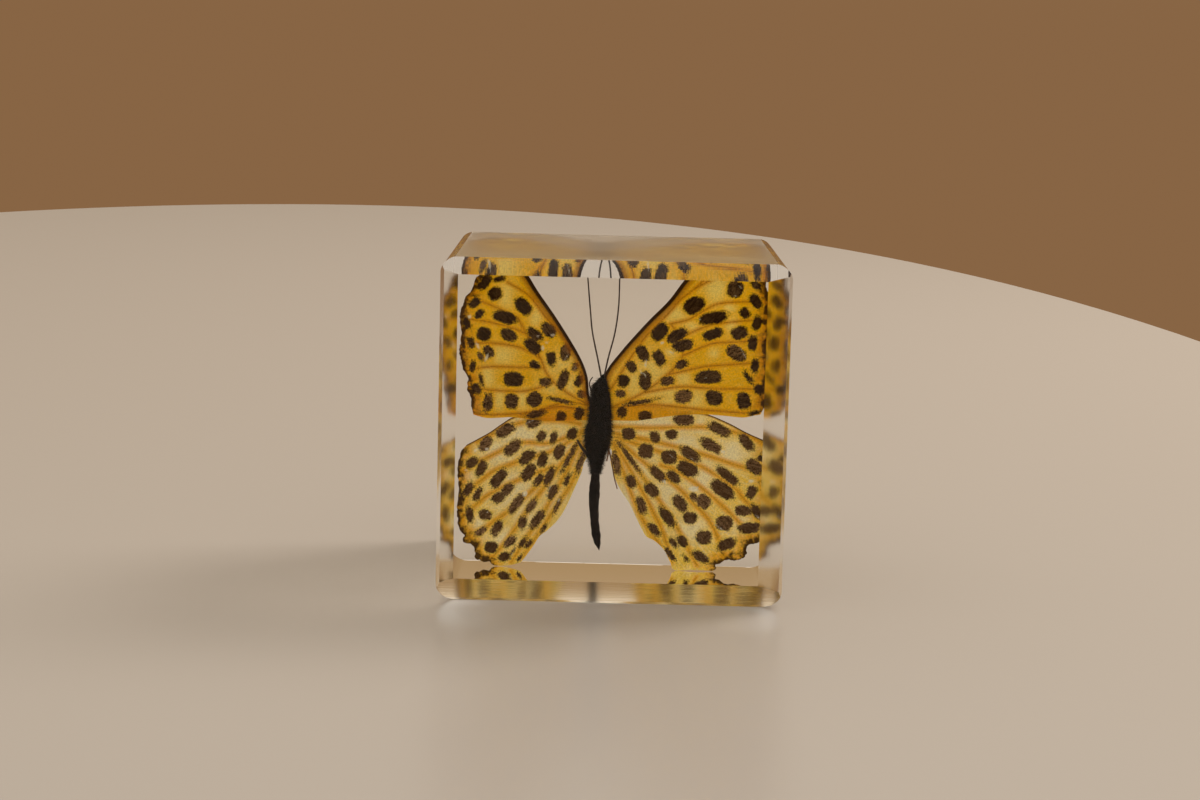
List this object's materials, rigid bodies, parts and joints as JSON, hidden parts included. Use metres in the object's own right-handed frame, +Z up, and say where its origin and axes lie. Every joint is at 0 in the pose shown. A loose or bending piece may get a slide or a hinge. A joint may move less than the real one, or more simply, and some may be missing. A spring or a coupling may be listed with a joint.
{
  "type": "butterfly in clear resin block",
  "caption": "Spread butterfly with dark-spotted yellow wings, cast near the back of a clear, bevelled, nearly cubic resin block that stands on its base.",
  "frame": {"origin": "middle of the block's bottom face", "axes": "+Z up; the polished front face looks along -Y, so +Y runs through the block from its front to its back and is its shortest size; +X to the right as seen from the front"},
  "size_m": [0.075, 0.07, 0.075],
  "materials": {
    "clear_resin": "polished clear cast resin with a faint warm tint, slightly domed bevels and no bubbles",
    "butterfly": "thin translucent wings, golden yellow to straw with dark brown round spots and dark edges, and a black-brown hairy body"
  },
  "bodies": {
    "root": {"resin_front": "clear_resin", "resin_back": "clear_resin", "butterfly": "butterfly"}
  },
  "joints": []
}
